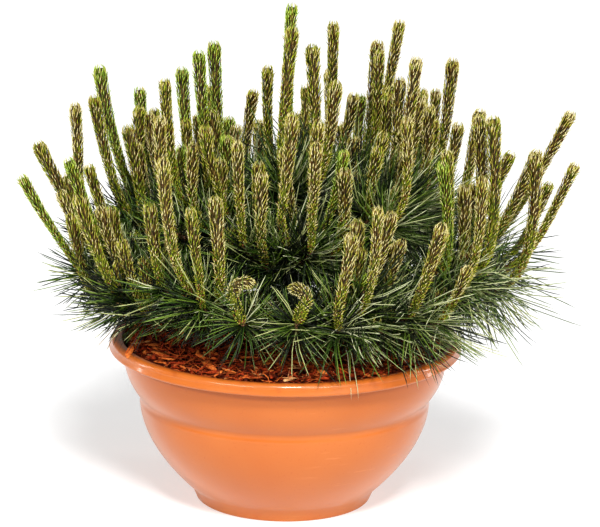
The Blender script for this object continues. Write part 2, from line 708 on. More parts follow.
# %% Fibres
FIBRES = 4800
FIBRE_TONES = (0.26, 0.36, 0.24, 0.10, 0.04)
FIBRE_LENGTHS, FIBRE_WIDTHS = (4, 16), (0.5, 1.5)  # in millimetres
FIBRE_RISE, FIBRE_TILT, FIBRE_BEND = 4.2 * MM, 0.32, 0.22
FIBRE_STATIONS = ((0, 0.6), (0.4, 1), (0.8, 0.7))


def mulch_fibres(rng):
    """All the fibres, kept inside the bowl's wall."""
    sheaf = Sheaf()
    lengths = rng.uniform(*FIBRE_LENGTHS, FIBRES) * MM
    places = strewn(FIBRES, rng, FIBRE_RISE)
    ways = flat_ways(FIBRES, rng, FIBRE_TILT)
    places[:, :2] -= ways[:, :2] * lengths[:, None] / 2
    bends = rng.normal(0, FIBRE_BEND, (FIBRES, 3))
    ends = places + (ways + bends) * lengths[:, None]
    for spots in (places, ends):
        over = np.linalg.norm(spots[:, :2], axis=1) / (MULCH_RADIUS - 0.6 * MM)
        places[:, :2] -= spots[:, :2] * np.maximum(0, 1 - 1 / np.maximum(over, 0.01))[:, None]
    widths = rng.uniform(*FIBRE_WIDTHS, FIBRES) * MM
    tones = rng.choice(len(MULCH_TONES), FIBRES, p=FIBRE_TONES)
    points = blades(places, ways, lengths, widths, bends, FIBRE_STATIONS)
    corners = blade_corners(len(FIBRE_STATIONS))
    sheaf.add_alike(points, corners, np.repeat(tones[:, None], len(corners), axis=1))
    return sheaf.piece("mulch_fibres", MULCH_TONES, "bark_mulch", ["mulch"])


mulch_fibres(np.random.default_rng(42))

# %% [markdown]
# ## The rule that the plant grows by
# The solids follow a rule: boughs leave the trunk in tiers and reach for a place each, a mass of shoots grows
# round that place on a spiral, and a shoot that would leave the mass's own space is drawn in or left out. The
# same rule with the same seeds is written again here, so every candle stands where its solid stands. What
# differs is what is kept of a twig: its whole curve, along which finer things can grow.

# %% The measures of the plant
SEED = 20
GOLDEN_ANGLE = math.radians(137.508)
TRUNK_FOOT_RADIUS, TRUNK_BODY_RADIUS, TRUNK_TIP_RADIUS = 15.5 * MM, 10.5 * MM, 4.2 * MM
TRUNK_LENGTH = 62 * MM
TRUNK_LEAN = Vector((0.06, 0.10))
TIER_HEIGHTS = (7 * MM, 17 * MM, 27 * MM, 37 * MM, 47 * MM)
BOUGH_ROOT_RADIUS, BOUGH_TIP_RADIUS = 3.1 * MM, 2.0 * MM
BOUGH_ENTRY = 3.5 * MM
SPREAD_RADIUS, SPREAD_LEVEL, SPREAD_HEIGHT = 120 * MM, 200 * MM, 900 * MM
CANDLE_RADIUS = 5.4 * MM
STEM_COLLAR = 4 * MM
TWIG_RADIUS = 1.7 * MM
ROSETTE_LENGTH, ROSETTE_BANDS = 26 * MM, 4
SHOOT_SPACING = 26 * MM
TWINNED = (1,)  # the places on the spiral whose shoots carry two candles
print("trunk:", round(TRUNK_LENGTH / MM), "mm long, with boughs in", len(TIER_HEIGHTS), "tiers")


# %% The boughs
class Bough(NamedTuple):
    """One main bough and the mass of foliage at its end. Lengths are millimetres, angles degrees."""

    name: str
    azimuth: float
    reach: float
    foot: float
    candle: float
    lean: float
    shoots: int
    tier: int  # counted from below, or -1 for the crown, which sits on the trunk itself
    nodding: int = 0  # the side to which its middle shoot hangs its head, 1 or -1, or 0 if it stands


BOUGHS = (
    Bough("crown", 200, 2, 256, 126, 0, 5, -1),
    Bough("inner_right", 352, 82, 236, 114, 3, 4, 3),
    Bough("inner_back_right", 46, 86, 238, 124, 7, 4, 4),
    Bough("inner_back_left", 130, 78, 232, 110, 6, 4, 3),
    Bough("inner_left", 188, 76, 226, 104, 6, 4, 4),
    Bough("inner_front", 270, 60, 214, 102, 3, 4, 3),
    Bough("right_back", 12, 158, 192, 122, 24, 3, 1),
    Bough("right", 340, 146, 188, 132, -4, 5, 2),
    Bough("front_right", 314, 131, 171, 84, 18, 5, 0),
    Bough("front", 297, 120, 175, 90, 5, 4, 1),
    Bough("front_left", 256, 127, 171, 45, 2, 1, 2, 1),
    Bough("left_front", 236, 120, 186, 114, 6, 4, 0),
    Bough("left", 206, 137, 173, 88, 14, 3, 1),
    Bough("left_back", 178, 138, 186, 100, 24, 4, 2),
    Bough("back_left", 148, 138, 208, 116, 10, 4, 0),
    Bough("back", 114, 132, 200, 98, 5, 4, 1),
    Bough("back_middle", 78, 132, 200, 110, 5, 4, 2),
    Bough("back_right", 42, 140, 210, 120, 6, 4, 0),
    Bough("front_middle", 274, 125, 173, 37, 2, 1, 0, -1),
)
print("boughs:", sum(bough.tier >= 0 for bough in BOUGHS), "and masses of foliage:", len(BOUGHS))

# %% [markdown]
# Each mass keeps to its own space. The planes halfway between the feet of two masses part them, as the walls
# part the cells of a honeycomb. The crown widens upwards, so the planes lean outwards with it: that is what
# the footprint takes out.


# %% The spaces of the masses
def outward(azimuth):
    """The level direction at that angle from the right, in radians."""
    return Vector((math.cos(azimuth), math.sin(azimuth), 0))


def bezier(start, middle, end, share):
    """The point at that share of a curve that leaves start towards middle and arrives at end from it."""
    return start.lerp(middle, share).lerp(middle.lerp(end, share), share)


def footprint(point):
    """Where a point stands in the crown's plan, with the widening of the crown taken out."""
    return Vector(point[:2]) / (1 + (point[2] - SPREAD_LEVEL) / SPREAD_HEIGHT)


def middle_foot(bough):
    """The place at which the middle shoot of a mass leaves the old wood."""
    foot = outward(math.radians(bough.azimuth)) * bough.reach * MM
    foot.z = bough.foot * MM
    return foot


SITES = [footprint(middle_foot(bough)) for bough in BOUGHS]
print("farthest mass from the axis:", round(max(site.length for site in SITES) / MM), "mm")


def room_in_cell(index, point):
    """How far inside its own mass's space a point is, up to the planes halfway to the other masses."""
    place, own = footprint(point), SITES[index]
    return min(
        ((place - site).length_squared - (place - own).length_squared) / (2 * (site - own).length)
        for number, site in enumerate(SITES)
        if number != index
    )


def clear_of_bowl(point, margin):
    """Whether a point is above the rim, or outside it and not far down."""
    if math.hypot(point[0], point[1]) < RIM_RADIUS + margin:
        return point[2] > RIM_TOP + margin
    return point[2] > RIM_UNDER * 0.55


# %% [markdown]
# A bough and the stem that carries it on into its mass are one curve with three handles. It leaves the trunk
# level or rising and arrives as the middle shoot stands: upright in the middle of the plant, spreading at
# its edge. Everything on the plant hangs on such curves, so a point is asked for by its share of the way.


# %% Trunk, boughs and stems as curves
def trunk_point(share):
    """The trunk's axis, upright at its foot and leaning above."""
    bend = TRUNK_LEAN * TRUNK_LENGTH * max(0, share - 0.06)
    return Vector((bend.x, bend.y, MULCH_TOP + GAP + TRUNK_LENGTH * share))


def twig_aim(place):
    """The direction of a twig's end: upright in the middle of the crown, spreading at its edge."""
    return (Vector((place.x, place.y, 0)) / SPREAD_RADIUS + UP).normalized()


def bough_route(index):
    """A bough and the stem that carries it on, as one curve from the trunk's axis to its middle shoot."""
    bough = BOUGHS[index]
    foot = middle_foot(bough)
    if bough.tier < 0:
        start = trunk_point(1)
        return start, start + UP * ((foot - start).length * 0.5), foot
    start = trunk_point(TIER_HEIGHTS[bough.tier] / TRUNK_LENGTH)
    middle = foot - twig_aim(foot) * ((foot - start).length * 0.45)
    middle.z = max(middle.z, start.z)
    return start, middle, foot


def entry_share(index):
    """How far along its curve a bough has just entered the space of its mass."""
    if BOUGHS[index].tier < 0:
        return 0.0
    route = bough_route(index)
    steps = [step / 60 for step in range(18, 48)]
    return next(share for share in steps if room_in_cell(index, bezier(*route, share)) > BOUGH_ENTRY)


farthest = max(bough_route(index)[2].xy.length for index in range(len(BOUGHS)))
print("the boughs' curves end up to", round(farthest / MM), "mm from the axis")


# %% Stems
def rosette_line(curve, first):
    """Points on the end of a twig that carries needles."""
    reach = (curve[2] - bezier(*curve, first)).length
    low = 1 - (1 - first) * min(0.8, ROSETTE_LENGTH / reach)
    return [bezier(*curve, low + (1 - low) * band / ROSETTE_BANDS) for band in range(ROSETTE_BANDS + 1)]


def stem_line(index):
    """The stem of a mass, from just beyond the bough's or the trunk's end."""
    entry, route = entry_share(index), bough_route(index)
    before, end = bezier(*route, 0.8 * entry), bezier(*route, entry)
    if BOUGHS[index].tier < 0:
        before, end = trunk_point(0.7), trunk_point(1)
    along = (end - before).normalized()
    start = end + along * GAP
    return [start, start + along * STEM_COLLAR, *rosette_line(route, entry)]


starts = [stem_line(index)[0].z / MM for index in range(len(BOUGHS))]
print("stems start between", round(min(starts)), "and", round(max(starts)), "mm above the floor")

# %% [markdown]
# A shoot is a twig and the candle on its end. Candles rise from the twig's own direction towards the upright,
# each with a lean of its own. Two short ones in front haven't straightened yet: they lean back a little and
# then bend over in an arch.


# %% A shoot and its candle
NODDING_STRAIGHT = 0.42  # the share of a nodding candle below its arch
NODDING_BACK, NODDING_ARCH = math.radians(22), math.radians(150)
CANDLE_SWAY = 0.06


class Shoot(NamedTuple):
    """A twig's curve from the share at which it starts, and the curve of the young candle on its end."""

    twig: tuple
    first: float
    candle: tuple
    length: float
    nodding: int
    rosette: bool  # whether the twig's needles are its own, and not those of a twin


def candle_curve(foot, aim, length, lean, rng):
    """The three handles of a candle that starts in its twig's direction and rises."""
    away = Vector((foot.x, foot.y, 0)).normalized()
    sway = Vector([rng.uniform(-CANDLE_SWAY, CANDLE_SWAY) for _ in range(2)] + [0])
    final = (UP + away * math.tan(math.radians(lean)) + sway).normalized()
    middle = foot + aim * (length * 0.22)
    return foot, middle, middle + final * (length * 0.82)


def candle_point(shoot, share):
    """A point on a candle's line. A nodding one leans back a little and then bends over in an arch."""
    if not shoot.nodding:
        return bezier(*shoot.candle, share)
    foot = shoot.candle[0]
    side = UP.cross(Vector((foot.x, foot.y, 0))).normalized() * shoot.nodding
    straight, back, arch = NODDING_STRAIGHT, NODDING_BACK, NODDING_ARCH
    rise, bend = shoot.length * straight, shoot.length * (1 - straight) / arch
    neck = foot + (UP * math.cos(back) - side * math.sin(back)) * (rise * min(1, share / straight))
    turn = arch * max(0, share - straight) / (1 - straight) - back
    lift, swing = math.sin(turn) + math.sin(back), math.cos(back) - math.cos(turn)
    return neck + (UP * lift + side * swing) * bend


print("a nodding tip ends up", round(math.degrees(NODDING_ARCH - NODDING_BACK)), "degrees from the upright")

# %% [markdown]
# The shoots of a mass stand round its middle one like the seeds of a sunflower: each a golden angle further
# and farther out. Where a shoot would leave the mass's space it is drawn in step by step, and left out if
# that doesn't help. Some twigs carry two candles.


# %% Whether a shoot has room
CANDLE_CHECKS = [step / 4 for step in range(5)]


def fits(index, points, radius):
    """Whether a line of points stays in the mass's space and clear of the bowl."""
    return all(
        room_in_cell(index, point) > radius + GAP and clear_of_bowl(point, radius + 2 * MM)
        for point in points
    )


def on_line(points, share):
    """The point at that share of a line of evenly counted points."""
    place = min(share, 0.9999) * (len(points) - 1)
    first = int(place)
    return points[first].lerp(points[first + 1], place - first)


print("each candle is tested at", len(CANDLE_CHECKS), "places")

# %% The shoots of each mass
SQUEEZES = (1, 0.86, 0.74, 0.62, 0.5)  # how far in a shoot may be drawn
FLATTENED = 0.35  # how much flatter the spiral is in the direction of the bough
SHORTER = (0.6, 0.98)  # how long their candles are, compared with the middle one
DROP, OUTER_DROP = (-4, 10), 0.3  # how much lower they stand, in millimetres, and by their way outwards
LEAN_WHIM = 5
STAGGER = 0.12  # how far apart along the stem their twigs leave it
TWIG_BEND = 0.45  # how far back along its aim a twig's middle handle lies
TWIN_PARTING, TWIN_LENGTHS = math.radians(38), (0.6, 0.9)


def shoots_of(index):
    """The shoots of a mass: its middle one, and others round it on a spiral that stays in its space."""
    bough = BOUGHS[index]
    rng = random.Random(SEED + index)
    centre = middle_foot(bough)
    away = outward(math.radians(bough.azimuth))
    stem = stem_line(index)
    length = bough.candle * MM
    middle_candle = candle_curve(centre, twig_aim(centre), length, bough.lean, rng)
    made = [Shoot(bough_route(index), entry_share(index), middle_candle, length, bough.nodding, True)]
    for number in range(1, bough.shoots):
        offset = outward(number * GOLDEN_ANGLE + math.radians(bough.azimuth)) * math.sqrt(number)
        offset = (offset - away * (offset.dot(away) * FLATTENED)) * SHOOT_SPACING
        length = bough.candle * MM * rng.uniform(*SHORTER)
        drop = rng.uniform(*DROP) * MM
        lean = bough.lean + rng.uniform(-LEAN_WHIM, LEAN_WHIM)
        sway = rng.random()
        root = on_line(stem[1:], STAGGER * (number % 4))
        for squeeze in SQUEEZES:
            foot = centre + offset * squeeze
            foot.z -= drop + max(0, foot.xy.length - centre.xy.length) * OUTER_DROP
            aim = twig_aim(foot)
            curve = root, foot - aim * ((foot - root).length * TWIG_BEND), foot
            candle = candle_curve(foot, aim, length, lean, random.Random(sway))
            shoot = Shoot(curve, 0.0, candle, length, 0, True)
            line = [candle_point(shoot, share) for share in CANDLE_CHECKS] + rosette_line(curve, 0)
            if fits(index, line, CANDLE_RADIUS):
                made.append(shoot)
                if number in TWINNED:
                    made += twin_of(index, shoot, aim, lean, rng)
                break
    return made


def twin_of(index, shoot, aim, lean, rng):
    """A second, shorter candle from the same twig's end, parting from the first, where it has room."""
    foot = shoot.twig[2]
    before = rosette_line(shoot.twig, 0)[-2]
    apart = Matrix.Rotation(rng.choice((-1, 1)) * TWIN_PARTING, 3, foot - before)
    side = apart @ aim.orthogonal().normalized()
    length = shoot.length * rng.uniform(*TWIN_LENGTHS)
    start = foot - aim * (3 * MM)
    _, middle, end = candle_curve(start, (aim + side * 0.9).normalized(), length, lean, rng)
    twin = Shoot(shoot.twig, 0.0, (start, middle, end + side * (5 * MM)), length, 0, False)
    line = [candle_point(twin, share) for share in CANDLE_CHECKS[1:]]
    return [twin] if fits(index, line, CANDLE_RADIUS) else []


SHOOTS = [shoots_of(index) for index in range(len(BOUGHS))]
print("shoots:", sum(len(shoots) for shoots in SHOOTS))

# %% [markdown]
# ## Finer twigs
# Two kinds grow on from those shoots. Side shoots stand among the tall ones with a shorter candle of their
# own, where there is room for it. Sprigs are small twigs lower down that end in needles and a bud, and they
# close the plant towards the mulch and round its edge. Round the edge they fan outwards, in the middle they
# point all ways. Behind there are more, and they start lower, so that the plant is closed from that side too.
# Both stay in the space of their mass or within the reach of the solids.

# %% How many side shoots
SIDE_SHOOTS, OPEN_SIDE_SHOOTS = 4, 2
OUTER_REACH = 100  # masses that reach further stand at the edge, the others in the middle
BACK_AZIMUTHS = (15, 170)
CANDLE_ROOM = 9.5 * MM


def apart_from(line, others):
    """Whether a new candle keeps its room all along those that stand already."""
    return all(
        (point - candle_point(other, share)).length > CANDLE_ROOM
        for other in others
        for point in line
        for share in CANDLE_CHECKS
    )


def side_shoots_wanted(bough):
    """Fewer in front and at the sides, which are more open, and none where they would hide nodding tips."""
    if bough.nodding:
        return 0
    behind = BACK_AZIMUTHS[0] < bough.azimuth < BACK_AZIMUTHS[1]
    return OPEN_SIDE_SHOOTS if bough.reach > OUTER_REACH and not behind else SIDE_SHOOTS


print("side shoots wanted:", sum(side_shoots_wanted(bough) for bough in BOUGHS))

# %% Side shoots
SIDE_TRIES = 60
SIDE_DISTANCE = (9, 40)
SIDE_LENGTH = (0.42, 0.86)
SIDE_DROP, SIDE_LEAN_WHIM = (2, 18), 6
SIDE_ROOTS = (0, 0.5)
SIDE_SLIMNESS = 0.7  # how slim their candles count where their room is tested
SIDE_FLOOR = 178 * MM
EDGE_ROOM = 6 * MM  # how far finer twigs may stand outside the middle shoot of their mass


def side_shoots_of(index):
    """Tries places at random and keeps those with room, up to the number wanted."""
    bough, rng = BOUGHS[index], random.Random(SEED * 31 + index)
    centre, stem = middle_foot(bough), stem_line(index)
    made = []
    for _ in range(SIDE_TRIES):
        if len(made) == side_shoots_wanted(bough):
            break
        offset = outward(rng.uniform(0, math.tau)) * (rng.uniform(*SIDE_DISTANCE) * MM)
        foot = centre + offset - UP * (rng.uniform(*SIDE_DROP) * MM)
        foot.z = max(foot.z, SIDE_FLOOR)
        root, aim = on_line(stem[1:], rng.uniform(*SIDE_ROOTS)), twig_aim(foot)
        length = bough.candle * MM * rng.uniform(*SIDE_LENGTH)
        curve = root, foot - aim * ((foot - root).length * TWIG_BEND), foot
        lean = bough.lean + rng.uniform(-SIDE_LEAN_WHIM, SIDE_LEAN_WHIM)
        candle = candle_curve(foot, aim, length, lean, rng)
        shoot = Shoot(curve, 0.0, candle, length, 0, True)
        line = [candle_point(shoot, share) for share in CANDLE_CHECKS]
        roomy = fits(index, line, CANDLE_RADIUS * SIDE_SLIMNESS) and apart_from(line, SHOOTS[index] + made)
        if roomy and foot.xy.length < centre.xy.length + EDGE_ROOM:
            made.append(shoot)
    return made


SIDE = [side_shoots_of(index) for index in range(len(BOUGHS))]
print("side shoots:", sum(len(shoots) for shoots in SIDE))

# %% Sprigs
SPRIGS_PER_BOUGH, SPRIGS_BEHIND = 6, 9
SPRIGS_FROM, SPRIGS_BEHIND_FROM = 0.5, 0.25  # how far along a bough they begin, up to where its mass begins
SPRIG_SQUEEZES = (1, 0.8, 0.6, 0.4)
SPRIG_SAG, SPRIG_TURN_UP = 5 * MM, 0.7
SPRIG_REACH = (26, 46)
SPRIG_RISE = (2, 26)
SPRIG_BUD = (9, 24)
SPRIG_FLOOR, BACK_SPRIG_FLOOR = RIM_TOP + 36 * MM, RIM_TOP + 22 * MM
EDGE_FAN, MIDDLE_FAN = 80, 180
NODDING_FEET = [shoot.candle[0] for shoots in SHOOTS for shoot in shoots if shoot.nodding]
NODDING_ROOM = 44 * MM


def sprigs_of(index):
    """Sprigs all along a bough, each pointing down at first and then turning up."""
    rng = random.Random(SEED * 77 + index)
    route, entry = bough_route(index), entry_share(index)
    bough = BOUGHS[index]
    fan = EDGE_FAN if bough.reach > OUTER_REACH else MIDDLE_FAN
    behind = route[2].y > 0
    wanted = SPRIGS_BEHIND if behind else SPRIGS_PER_BOUGH
    first = entry * (SPRIGS_BEHIND_FROM if behind else SPRIGS_FROM)
    made = []
    for number in range(wanted):
        share = first + (0.95 - first) * (number + 0.6) / wanted
        root = bezier(*route, share)
        bearing = outward(math.radians(bough.azimuth + fan * rng.uniform(-1, 1)))
        reach, rise = rng.uniform(*SPRIG_REACH) * MM, rng.uniform(*SPRIG_RISE) * MM
        bud = rng.uniform(*SPRIG_BUD) * MM
        for squeeze in SPRIG_SQUEEZES:
            foot = root + bearing * (reach * squeeze) + UP * rise
            foot.z = max(foot.z, BACK_SPRIG_FLOOR if behind else SPRIG_FLOOR)
            hiding = any((foot - nodding).length < NODDING_ROOM for nodding in NODDING_FEET)
            if foot.xy.length < middle_foot(bough).xy.length + EDGE_ROOM and not hiding:
                middle = root.lerp(foot, 0.55) - UP * SPRIG_SAG
                aim = ((foot - middle).normalized() + UP * SPRIG_TURN_UP).normalized()
                candle = candle_curve(foot, aim, bud, 4, rng)
                made.append(Shoot((root, middle, foot), 0.0, candle, bud, 0, True))
                break
    return made


SPRIGS = [sprigs_of(index) for index in range(len(BOUGHS))]
print("sprigs:", sum(len(sprigs) for sprigs in SPRIGS))

# %% [markdown]
# ## Wood
# A limb is a circle that is carried along a curve: drawn out edge by edge, moved to the next station, made
# narrower, and so on to the tip, where the holes are filled. The bark of the trunk and the boughs is then
# raised along the normals by noise: plates and furrows that catch the light where a bump would not.


# %% Limbs
def stations(points, radii):
    """A matrix for each ring of a limb: at its point, facing along the path, as large as its radius."""
    frames, side = [], Vector((1, 0, 0))
    for number, (point, radius) in enumerate(zip(points, radii)):
        ahead, behind = points[min(number + 1, len(points) - 1)], points[max(number - 1, 0)]
        along = (ahead - behind).normalized()
        side = (side - along * side.dot(along)).normalized()
        turn = Matrix((side, along.cross(side), along)).transposed().to_4x4()
        frames.append(Matrix.Translation(point) @ turn @ Matrix.Scale(radius, 4))
    return frames


def limb(points, radii, sides):
    """A closed limb along those points, with a ring of that many sides at each."""
    work = bmesh.new()
    frames = stations(points, radii)
    bmesh.ops.create_circle(work, radius=1, segments=sides, matrix=frames[0])
    edges = list(work.edges)
    for before, after in zip(frames, frames[1:]):
        drawn = bmesh.ops.extrude_edge_only(work, edges=edges)["geom"]
        ring = {part for part in drawn if isinstance(part, bmesh.types.BMVert)}
        bmesh.ops.transform(work, matrix=after @ before.inverted(), verts=list(ring))
        rims = [part for part in drawn if isinstance(part, bmesh.types.BMEdge)]
        edges = [edge for edge in rims if ring.issuperset(edge.verts)]
    bmesh.ops.holes_fill(work, edges=work.edges, sides=sides)
    bmesh.ops.recalc_face_normals(work, faces=work.faces)
    return work


def add_limb(sheaf, work, slots_by_height=None):
    """Moves a limb into a sheaf. Slots by height gives each ring of faces its slot, from root to tip."""
    bmesh.ops.triangulate(work, faces=work.faces)
    work.verts.index_update()
    points = np.array([point.co for point in work.verts])
    corners = np.array([[point.index for point in face.verts] for face in work.faces])
    slots = np.zeros(len(corners), int)
    if slots_by_height is not None:
        slots = slots_by_height(corners.min(axis=1) / len(points))
    sheaf.add(points, corners, slots)
    work.free()


sample = limb([UP * 0, UP * MM, UP * 2 * MM], [MM, MM, MM], 6)
print("a limb of three rings with six sides has", len(sample.faces), "faces")
sample.free()


# %% The finish of bark
def bark_finish(name, furrow, plate, flakes):
    """Bark of plates parted by dark furrows, with that many plates to the metre."""
    finish = Finish(name, {"IOR": 1.4})
    place = finish.add("ShaderNodeTexCoord", output="Object")
    warped = finish.add("ShaderNodeMapping", inputs={"Vector": place, "Scale": (1, 1, 0.45)})
    settings = {"feature": "DISTANCE_TO_EDGE"}
    cells = finish.add("ShaderNodeTexVoronoi", settings, {"Vector": warped, "Scale": flakes})
    plates = (cells + finish.grain(flakes * 2, 3) * 0.12).rising(0.05, 0.2)
    tint = finish.grain(flakes * 0.6, 2).rising(0.35, 0.65)
    values = {
        "Base Color": finish.mixed(plates * (0.55 + tint * 0.45), furrow, plate),
        "Roughness": 0.92 - plates * 0.12,
        "Normal": finish.raised(plates + finish.grain(flakes * 5, 3) * 0.5, 0.4 * MM),
    }
    finish.feed(finish.shader, values)
    return finish.material


BARK = bark_finish("bark", paint(38, 26, 19), paint(126, 98, 76), 230)
print("finish of the wood:", BARK.name)

# %% Trunk and boughs
WOOD_NODES = ["trunk"] + ["bough_" + bough.name for bough in BOUGHS if bough.tier >= 0]
TRUNK_STEPS, TRUNK_FACES = 26, 30
BOUGH_STEPS, BOUGH_FACES = 34, 12
TRUNK_PLATES, BOUGH_PLATES = 260, 420  # plates of bark to the metre
TRUNK_RELIEF, BOUGH_RELIEF = 0.9 * MM, 0.45 * MM
FLARE_FADE = 14  # how soon above the mulch the root flare is gone
RIDGE_HEIGHT, RIDGE_FADE = 1.2 * MM, 9 * MM
OVERLAP = 0.02  # how far a bough reaches into its mass, as a share of its curve
BOUGH_SWELL = 1.12


def roughened(work, plates, depth):
    """Raises the bark of a limb along its normals."""
    work.normal_update()
    for point in work.verts:
        place = Vector((point.co.x, point.co.y, point.co.z * 0.5)) * plates
        height = noise.noise(place) + 0.5 * noise.noise(place * 2.7)
        point.co += point.normal * (height * depth)
    return work


def trunk_mesh():
    """The trunk, with a root flare of three low ridges."""
    shares = [step / TRUNK_STEPS for step in range(TRUNK_STEPS + 1)]
    slim = TRUNK_BODY_RADIUS - TRUNK_TIP_RADIUS
    flared = TRUNK_FOOT_RADIUS - TRUNK_BODY_RADIUS
    radii = [
        TRUNK_TIP_RADIUS + slim * (1 - share) + flared * math.exp(-share * FLARE_FADE) for share in shares
    ]
    work = limb([trunk_point(share) for share in shares], radii, TRUNK_FACES)
    for point in work.verts:
        out = point.co.xy - trunk_point(0).xy
        ridge = math.cos(3 * math.atan2(out.y, out.x)) * RIDGE_HEIGHT
        fade = math.exp(-(point.co.z - MULCH_TOP) / RIDGE_FADE)
        point.co.xy += out.normalized() * (ridge * fade)
    return roughened(work, TRUNK_PLATES, TRUNK_RELIEF)


def make_wood():
    """Trunk and boughs as one piece. Each bough ends just inside its mass."""
    sheaf = Sheaf()
    add_limb(sheaf, trunk_mesh())
    for index, bough in enumerate(BOUGHS):
        if bough.tier < 0:
            continue
        shares = [step / BOUGH_STEPS for step in range(BOUGH_STEPS + 1)]
        thin = BOUGH_ROOT_RADIUS - BOUGH_TIP_RADIUS
        line = [bezier(*bough_route(index), share * (entry_share(index) + OVERLAP)) for share in shares]
        radii = [BOUGH_ROOT_RADIUS * BOUGH_SWELL - thin * share for share in shares]
        add_limb(sheaf, roughened(limb(line, radii, BOUGH_FACES), BOUGH_PLATES, BOUGH_RELIEF))
    return sheaf.piece("trunk_and_boughs", [BARK], "bark", WOOD_NODES)


make_wood()

# %% [markdown]
# ## Old needles
# Dark green, a little bluish, about three to four centimetres long, in pairs that part at a small angle. They
# leave the twig on a spiral: wide below, closer to the twig's own direction above, and slightly curved
# forwards. A needle is a blade of sixteen triangles, or of ten on old wood. Its green is dealt out spray by
# spray from seven plain ones, because a pattern on something this thin would be lost. One of its three sides
# is paler, as the pale lines along a real needle make it.

# %% The greens
GREENS = [
    even_finish("needle_" + name, paint(*colour), roughness, coat)
    for name, colour, roughness, coat in (
        ("deep", (8, 16, 4), 0.55, 0.05),
        ("dark", (28, 46, 14), 0.45, 0.1),
        ("middle", (64, 92, 31), 0.4, 0.1),
        ("green", (106, 130, 48), 0.4, 0.1),
        ("light", (178, 184, 124), 0.4, 0.1),
        ("pale", (218, 222, 180), 0.45, 0.05),
        ("dry", (176, 146, 92), 0.6, 0.0),
    )
]
PALE_SIDES = np.array([1, 3, 4, 5, 5, 5, 6])  # for each of them the colour of the paler side
GREEN_SHARES = {
    "old": (0.78, 0.19, 0.027, 0, 0, 0, 0.003),
    "low": (0.19, 0.22, 0.24, 0.20, 0.11, 0.037, 0.003),
    "high": (0.23, 0.26, 0.25, 0.16, 0.075, 0.022, 0.003),
}
HIGH_FROM, HIGH_OVER = 0.165, 0.05  # the height at which a spray begins to count as high, in metres
WHIM = 0.35


def dealt(height, age, rng):
    """The mixture of greens of one spray: darker where it is older, with a whim of its own."""
    share = np.clip((height - HIGH_FROM) / HIGH_OVER + rng.normal(0, WHIM), 0, 1)
    old, low, high = (np.array(GREEN_SHARES[name]) for name in ("old", "low", "high"))
    mixture = old * age + (low * (1 - share) + high * share) * (1 - age)
    mixture = mixture * rng.uniform(0.5, 1.5, len(mixture))
    return mixture / mixture.sum()


print("greens:", ", ".join(green.name for green in GREENS))

# %% [markdown]
# The plant isn't the same all round. At the left its needles are short and stiff, at the right they are long,
# hang, and stand further apart, so that light shows between them. A needle that would touch the mulch or the
# rim, or reach past the solids, is left out.


# %% Where needles stand
LEFT, RIGHT = -150 * MM, 150 * MM
LEAF_LENGTHS = 28 * MM, 43 * MM  # of needles at the left and at the right of the plant
LOOSE_FROM, LOOSE_OVER = 0.07, 0.08  # how far to the right of the axis they begin to be loose, in metres
HANGING, THINNED = 0.24, 0.5  # how much more the loose ones hang, and how many fewer there are
DROOPS = ((0.165, 0.215), (0.13, 0.02))  # how much needles hang, by the height of their twig's end
MULCH_ROOM, RIM_ROOM, LOWEST = 18 * MM, 11 * MM, 98 * MM
SLANT = 0.07  # needles hang lower at the right of the bowl than at its left
REACH_MARGIN = 5 * MM


def end_stretch(curve, first, kind):
    """Evenly spread places on the last stretch of a curve, and the direction there, from low to high."""
    start, middle, end = (np.array(point) for point in curve)
    shares = np.linspace(first, 1, 60)[:, None]
    line = start * (1 - shares) ** 2 + middle * 2 * shares * (1 - shares) + end * shares**2
    travelled = np.concatenate([[0], np.cumsum(np.linalg.norm(np.diff(line, axis=0), axis=1))])
    wanted = np.linspace(max(0, travelled[-1] - kind.stretch * MM), travelled[-1], kind.pairs)
    at = np.interp(wanted, travelled, shares[:, 0])[:, None]
    places = start * (1 - at) ** 2 + middle * 2 * at * (1 - at) + end * at**2
    return places, unit((middle - start) * (1 - at) + (end - middle) * at)


def still_there(tips):
    """Whether a needle stays: it would long be shed where it dips to the mulch, the rim or past the reach."""
    out = np.linalg.norm(tips[:, :2], axis=1)
    ground = np.where(out < RIM_RADIUS + 3 * MM, RIM_TOP + RIM_ROOM, LOWEST)
    ground = np.where(out < MULCH_RADIUS, mulch_height(out) + MULCH_ROOM, ground)
    ground = ground - SLANT * tips[:, 0]
    low, high = (np.array(corner) for corner in cad_box)
    return (tips[:, 2] > ground) & ((tips > low - REACH_MARGIN) & (tips < high + REACH_MARGIN)).all(axis=1)


def first_side(rings):
    """The triangles on the first of the three sides of a blade."""
    return [1 + 6 * band + half for band in range(rings - 1) for half in (0, 1)] + [6 * rings - 5]


print("longest needles:", [round(length / MM) for length in LEAF_LENGTHS], "mm at the left and right")

# %% [markdown]
# A spray is all the needles on one stretch of twig. How they stand depends on the kind of twig: the rosette
# round the foot of a candle is dense and young, the needles further back are old and dark and cover the bare
# wood, and a sprig has something of both. One table says it for all of them.


# %% Kinds of sprays
class Kind(NamedTuple):
    """How needles stand on one kind of twig."""

    stretch: float  # the length of twig that carries them, in millimetres
    pairs: int
    spreads: tuple  # their angles to the twig in degrees, at its lower and its upper end
    length: float  # how long they are, compared with others at that place
    age: float
    stations: tuple


